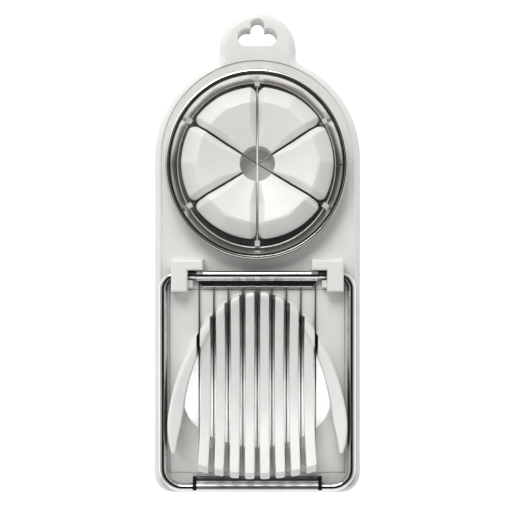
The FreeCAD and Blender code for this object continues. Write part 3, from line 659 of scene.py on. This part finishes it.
def make_ring(material, edge):
    """The ring's solid drawn a little taller than wide, as its rim is in the photograph."""
    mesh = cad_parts["wedger_ring"].data.copy()
    for vertex in mesh.vertices:
        x, y, z = (value / MM for value in vertex.co)
        if abs(x) < KNUCKLE_HALF and y > KNUCKLE_Y and z < KNUCKLE_TOP:
            continue
        vertex.co.x = (RING_CENTRE[0] / MM + x * RING_HALF_X / SOLID_RING_OUTER) * MM
        vertex.co.y = (RING_CENTRE[1] / MM + (y - CUP_Y) * RING_HALF_Y / SOLID_RING_OUTER) * MM
    new_piece("oval_ring", mesh, material, "wedger", "wedger_ring")
    oval_hoop("ring_rim", *RIM, material)
    oval_hoop("ring_lip", *LIP, edge)


# ---------------------------------------------------------------- egg cradle

def wing_half_width(y):
    """Half the cradle's width at a place along Y, as in the solids."""
    if y >= WING_WIDEST:
        along = clamped((ARCH_HEAD - y) / (ARCH_HEAD - WING_WIDEST))
        return WING_HALF * math.sqrt(1.0 - (1.0 - along) ** ARCH_POWER)
    below = (WING_WIDEST - y) / WING_FOOT_SPAN
    return WING_HALF * math.sqrt(max(1.0 - below * below, 0.0))


def slot_cutter():
    """Seven wedges that open the ribs' gaps through the arch, wider at its head."""
    points, faces = [], []
    for n in CUTS:
        start = len(points)
        for z in CUT_HEIGHTS:
            for y, half in CUT_HALVES:
                points += [(CUT_PITCH * n - half, y, z), (CUT_PITCH * n + half, y, z)]
        faces += [tuple(start + i for i in face) for face in CUT_FACES]
    return placed("slot_cutter", mesh_from("slot_cutter", points, faces))


def open_cradle():
    """The cradle's solid with its gaps opened, as one even skin."""
    piece = placed("ribbed_cradle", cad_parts["egg_cradle"].data.copy())
    shape = bmesh.new()
    shape.from_mesh(piece.data)
    bmesh.ops.remove_doubles(shape, verts=shape.verts, dist=CRADLE_MERGE)
    shape.to_mesh(piece.data)
    shape.free()
    cutter = slot_cutter()
    opened = piece.modifiers.new("open_gaps", "BOOLEAN")
    opened.operation = "DIFFERENCE"
    opened.solver = "EXACT"
    opened.object = cutter
    skin = piece.modifiers.new("skin", "REMESH")
    skin.mode = "VOXEL"
    skin.voxel_size = SKIN_SIZE * MM
    apply_modifiers(piece)
    bpy.data.objects.remove(cutter)
    return piece


def outline_tree():
    """Points along the cradle's outline, to measure how far inside it a place is."""
    outline = mathutils.kdtree.KDTree(2 * OUTLINE_STEPS)
    for n in range(OUTLINE_STEPS):
        y = ARCH_HEAD + (WING_TIP - ARCH_HEAD) * (n / (OUTLINE_STEPS - 1.0)) ** 2
        for side in (-1.0, 1.0):
            outline.insert((side * wing_half_width(y), y, 0.0), 2 * n + (side > 0))
    outline.balance()
    return outline


def tops_of(mesh):
    """The highest point in each millimetre cell seen from above, or in a cell beside it."""
    tops = {}
    for vertex in mesh.vertices:
        cell = (round(vertex.co.x / MM), round(vertex.co.y / MM))
        for beside in ((a, b) for a in (-1, 0, 1) for b in (-1, 0, 1)):
            key = (cell[0] + beside[0], cell[1] + beside[1])
            tops[key] = max(tops.get(key, 0.0), vertex.co.z / MM)
    return tops


def soften(piece):
    """Lowers the arch's head, rounds the outer edges, and marks the ends to be smoothed."""
    outline, tops = outline_tree(), tops_of(piece.data)
    ends = piece.vertex_groups.new(name="ends")
    for vertex in piece.data.vertices:
        x, y, z = (value / MM for value in vertex.co)
        if y > BOWL_CENTRE and z > BOWL_FLOOR:
            lowered = HEAD_LOWERED * (y - BOWL_CENTRE) / (ARCH_HEAD - BOWL_CENTRE)
            vertex.co.z = (BOWL_FLOOR + (z - BOWL_FLOOR) * (1.0 - lowered)) * MM
        away = outline.find((x, y, 0.0))[2]
        rounding = ROUND_LEAST + ROUND_GROWTH * clamped((y - ROUND_FROM) / ROUND_SPAN)
        if away < rounding and z > SOFT_FROM:
            share = max(0.0, 1.0 - (tops[(round(x), round(y))] - z) / ROUND_DEPTH)
            vertex.co.z -= rounded_off(rounding, away) * share * MM
        weight = max(clamped((END_REACH - away) / END_FADE) * clamped((z - SOFT_FROM) / END_FADE),
                     clamped((RIB_FOOT - y) / END_FADE))
        if weight > 0.0:
            ends.add([vertex.index], weight, "REPLACE")


def make_cradle(material):
    """The cradle as one soft moulding: open rib gaps, rounded rib heads and wing edges."""
    piece = open_cradle()
    soften(piece)
    for name, group, turns in SMOOTHING:
        soft = piece.modifiers.new(name, "SMOOTH")
        soft.factor = 0.5
        soft.iterations = turns
        soft.vertex_group = group
    fewer = piece.modifiers.new("fewer", "DECIMATE")
    fewer.ratio = KEPT_FACES
    apply_modifiers(piece)
    for face in piece.data.polygons:
        face.use_smooth = True
    settle(piece, material, "base", "egg_cradle")


# ---------------------------------------------------------------- wire carriers

def wrap_line(centre_y, side, back, plate_end):
    """Round the rod from its far side, down to a flat plate, and over a rounded front edge."""
    line = []
    for n in range(WRAP_STEPS + 1):
        angle = math.radians(back + (WRAP_END - back) * n / WRAP_STEPS)
        line.append((centre_y + side * WRAP * math.cos(angle), ROD_Z + WRAP * math.sin(angle)))
    foot_y = line[-1][0]
    steps = range(1, FOLD_STEPS + 1)
    bends = [math.radians(90.0 * n / FOLD_STEPS) for n in steps]
    plate_y, length_y = foot_y - side * FOLD, plate_end + side * FOLD - foot_y + side * FOLD
    line += [(foot_y - side * FOLD * (1.0 - math.cos(angle)),
              PLATE_Z + FOLD - FOLD * math.sin(angle)) for angle in bends]
    line += [(plate_y + length_y * n / FOLD_STEPS, PLATE_Z) for n in steps]
    line += [(plate_end + side * FOLD - side * FOLD * math.sin(angle),
              PLATE_Z - FOLD + FOLD * math.cos(angle)) for angle in bends]
    return line + [(plate_end, LIP_FOOT)]


def sheet_loop(centre_line):
    """The closed outline of a sheet, half its thickness to either side of a (y, z) line."""
    normals = []
    for n in range(len(centre_line)):
        before = centre_line[max(n - 1, 0)]
        after = centre_line[min(n + 1, len(centre_line) - 1)]
        run = math.hypot(after[0] - before[0], after[1] - before[1])
        normals.append((-(after[1] - before[1]) / run, (after[0] - before[0]) / run))
    sides = [[(y + half * ny, z + half * nz) for (y, z), (ny, nz) in zip(centre_line, normals)]
             for half in (0.5 * STRIP_SHEET, -0.5 * STRIP_SHEET)]
    return sides[0] + sides[1][::-1]


def strip(name, centre_line, half_widths, material, node):
    """A folded strip: a centre line of (y, z) with a thickness, drawn out along X."""
    loop, widths = sheet_loop(centre_line), half_widths + half_widths[::-1]
    points, faces = [], []
    for n in range(STRIP_SPANS + 1):
        share = 2.0 * n / STRIP_SPANS - 1.0
        points += [(share * wide, y, z) for (y, z), wide in zip(loop, widths)]
    count = len(loop)
    for n in range(STRIP_SPANS):
        for j in range(count):
            k = (j + 1) % count
            faces.append((n * count + j, n * count + k, (n + 1) * count + k, (n + 1) * count + j))
    for end in (0, STRIP_SPANS * count):
        for j in range(count // 2 - 1):
            faces.append((end + j, end + j + 1, end + count - 2 - j, end + count - 1 - j))
    new_piece(name, mesh_from(name, points, faces), material, "slicer", node)


def make_carriers(material, brushed):
    upper, lower = wrap_line(*UPPER_WRAP), wrap_line(*LOWER_WRAP)
    tapered = [STRIP_HALF if y > TAPER_Y
               else STRIP_HALF - TAPER_WIDTH * (TAPER_Y - y) / TAPER_SPAN for y, _ in upper]
    strip("upper_folded_strip", upper, tapered, material, "upper_wire_carrier")
    strip("lower_folded_strip", lower, [STRIP_HALF] * len(lower), brushed, "lower_wire_carrier")


# ---------------------------------------------------------------- stage

def shows_white(tree, mirrored=None):
    """1 for the rays that see the plain white surroundings; mirrored limits those of metal."""
    path = add(tree, "ShaderNodeLightPath")
    other = maths(tree, "MAXIMUM", path.outputs["Is Glossy Ray"],
                  path.outputs["Is Transmission Ray"])
    if mirrored is not None:
        other = product(tree, other, mirrored)
    return maths(tree, "MAXIMUM", path.outputs["Is Camera Ray"], other)


def floor_shade(tree):
    """The share by which the floor's own white is turned down, by place: a painted shadow."""
    parts = parts_of(tree, object_coordinates(tree))
    along, across = parts["Y"], maths(tree, "ABSOLUTE", parts["X"])
    window = product(tree, ramp(tree, across, *WINDOW_SIDE), ramp(tree, along, *WINDOW_TOP))
    return product(tree, ramp(tree, along, *SHADE_FOOT), ramp(tree, along, *SHADE_HEAD),
                   rest_of(tree, window), ramp(tree, across, *SHADE_SIDE))


def make_floor():
    half = FLOOR_HALF
    mesh = bpy.data.meshes.new("floor")
    mesh.from_pydata([(-half, -half, 0), (half, -half, 0), (half, half, 0), (-half, half, 0)],
                     [], [(0, 1, 2, 3)])
    floor = placed("floor", mesh)
    floor.location.z = -FLOOR_DROP
    material = bpy.data.materials.new("white_floor")
    material.use_nodes = True
    tree = material.node_tree
    tree.nodes.clear()
    matt = add(tree, "ShaderNodeBsdfDiffuse", Color=(FLOOR_GREY, FLOOR_GREY, FLOOR_GREY, 1.0))
    glow = add(tree, "ShaderNodeEmission")
    # the floor's own white, dimmed where it is shut in: painted contact shade
    lit = ramp(tree, openness(tree, *FLOOR_OPENNESS), *GLOW)
    seen = product(tree, lit, rest_of(tree, floor_shade(tree)), shows_white(tree))
    wire(tree, seen, glow.inputs["Strength"])
    both = add(tree, "ShaderNodeAddShader")
    feed(tree, both, (matt.outputs["BSDF"], glow.outputs["Emission"]))
    out = add(tree, "ShaderNodeOutputMaterial")
    wire(tree, both.outputs["Shader"], out.inputs["Surface"])
    mesh.materials.append(material)


def make_world():
    """Soft studio with bright sides and a dark ceiling, and white where it is seen directly."""
    world = bpy.data.worlds.new("studio")
    bpy.context.scene.world = world
    world.use_nodes = True
    tree = world.node_tree
    tree.nodes.clear()
    direction = add(tree, "ShaderNodeTexCoord").outputs["Generated"]
    level = STUDIO_BASE
    for aim, start, full, strength in STUDIO_LOBES:
        towards = vectors(tree, "DOT_PRODUCT", direction, Vector(aim).normalized(),
                          result="Value")
        level = maths(tree, "ADD", level, ramp(tree, towards, start, full, 0.0, strength))
    height = parts_of(tree, direction)["Z"]
    studio = add(tree, "ShaderNodeBackground")
    wire(tree, product(tree, level, ramp(tree, height, *CEILING)), studio.inputs["Strength"])
    white = add(tree, "ShaderNodeBackground", Strength=1.0, Color=(1.0, 1.0, 1.0, 1.0))
    mix = add(tree, "ShaderNodeMixShader")
    feed(tree, mix, (shows_white(tree, ramp(tree, height, *HORIZON)),
                     studio.outputs["Background"], white.outputs["Background"]))
    out = add(tree, "ShaderNodeOutputWorld")
    wire(tree, mix.outputs["Shader"], out.inputs["Surface"])


def make_key(place, size, power):
    """One soft lamp that aims at the origin."""
    light = bpy.data.lights.new("key", "AREA")
    light.shape = "RECTANGLE"
    light.size, light.size_y = size
    light.energy = power
    lamp = placed("key", light)
    lamp.location = place
    lamp.rotation_euler = (-Vector(place)).to_track_quat("-Z", "Y").to_euler()


def make_camera():
    data = bpy.data.cameras.new("camera")
    data.sensor_width = SENSOR
    data.lens = SENSOR * FOCAL_PIXELS / PICTURE
    data.clip_start, data.clip_end = CAMERA_CLIP
    camera = placed("camera", data)
    camera.location = CAMERA_PLACE
    bpy.context.scene.camera = camera


# ---------------------------------------------------------------- the scene

plastic = moulded_plastic("moulded_white_plastic", WIDE_CREVICE, CUP_SHADE)
tray_plastic = moulded_plastic("moulded_tray_plastic", WIDE_CREVICE, WELL_SHADE)
cradle_plastic = moulded_plastic("moulded_cradle_plastic", GAP_CREVICE, GAP_SHADE)
ring_steel = rolled_steel()
# name, dark and light colour, roughness, grain and its depth
# the rod's sides get painted shade where the tray is close
rod_steel = steel("polished_rod_steel", (0.55, 0.55, 0.54), (0.63, 0.63, 0.62),
                  (0.05, 0.12), ROD_GRAIN, 0.05, painted_shade_near=ROD_SHADE)
strip_steel = steel("polished_strip_steel", (0.60, 0.60, 0.59), (0.70, 0.70, 0.69),
                    (0.08, 0.18), STRIP_GRAIN, 0.08)
# painted reflections and shade across the lower strip's folds
satin_strip_steel = steel("satin_strip_steel", (0.86, 0.86, 0.85), (0.96, 0.96, 0.95),
                          (0.42, 0.52), STRIP_GRAIN, 0.08, painted_bands=STRIP_PAINTED_BANDS)
# a darker copy of the wire steel: painted shade on the wedger's two slanted wires
painted_shade_wire_steel = steel("drawn_wire_painted_shade", (0.20, 0.20, 0.195), (0.28, 0.28, 0.275),
                   (0.18, 0.30), WIRE_GRAIN, 0.06)
# painted light and shade along the slicer's wires
slicer_wire_steel = steel("taut_wire_steel", (0.66, 0.66, 0.65), (0.78, 0.78, 0.77),
                          (0.30, 0.40), WIRE_GRAIN, 0.06, painted_bands=WIRE_PAINTED_BANDS, metallic=0.8)
# a lighter, almost matt copy of the wire steel: painted light on the wedger's upright wire
painted_light_wire_steel = steel("painted_light_wire_steel", (0.90, 0.90, 0.89), (0.98, 0.98, 0.97),
                          (0.40, 0.50), WIRE_GRAIN, 0.06, metallic=0.1)
edge_steel = steel("bright_edge_steel", (0.84, 0.83, 0.81), (0.92, 0.91, 0.89),
                   (0.30, 0.42), EVEN_GRAIN, 0.06, metallic=0.5)
crimp_steel = steel("pressed_crimp_steel", (0.88, 0.87, 0.84), (0.95, 0.94, 0.92),
                    (0.30, 0.42), EVEN_GRAIN, 0.15, metallic=0.4)

# a piece's CAD node is dressed as well, though it is hidden
dress(tray_plastic, "base_tray")
dress(plastic, "wedge_cup", "hinge_clip_left", "hinge_clip_right")
dress(cradle_plastic, "egg_cradle")
dress(ring_steel, "wedger_ring")
dress(rod_steel, "slicer_frame_rod", "ring_hinge_pin")
dress(strip_steel, "upper_wire_carrier", "lower_wire_carrier", "carrier_lug_left",
      "carrier_lug_right")
dress(slicer_wire_steel, *numbered("slicer_wire", 9))
dress(painted_shade_wire_steel, "wedger_wire_1", "wedger_wire_2")
dress(painted_light_wire_steel, "wedger_wire_3")
dress(crimp_steel, *numbered("wire_crimp", 6))

make_cup(plastic)
make_ring(ring_steel, edge_steel)
make_cradle(cradle_plastic)
make_carriers(strip_steel, satin_strip_steel)

make_floor()
make_world()
make_key(*KEY)
make_camera()
bpy.context.scene.view_settings.view_transform = "Standard"
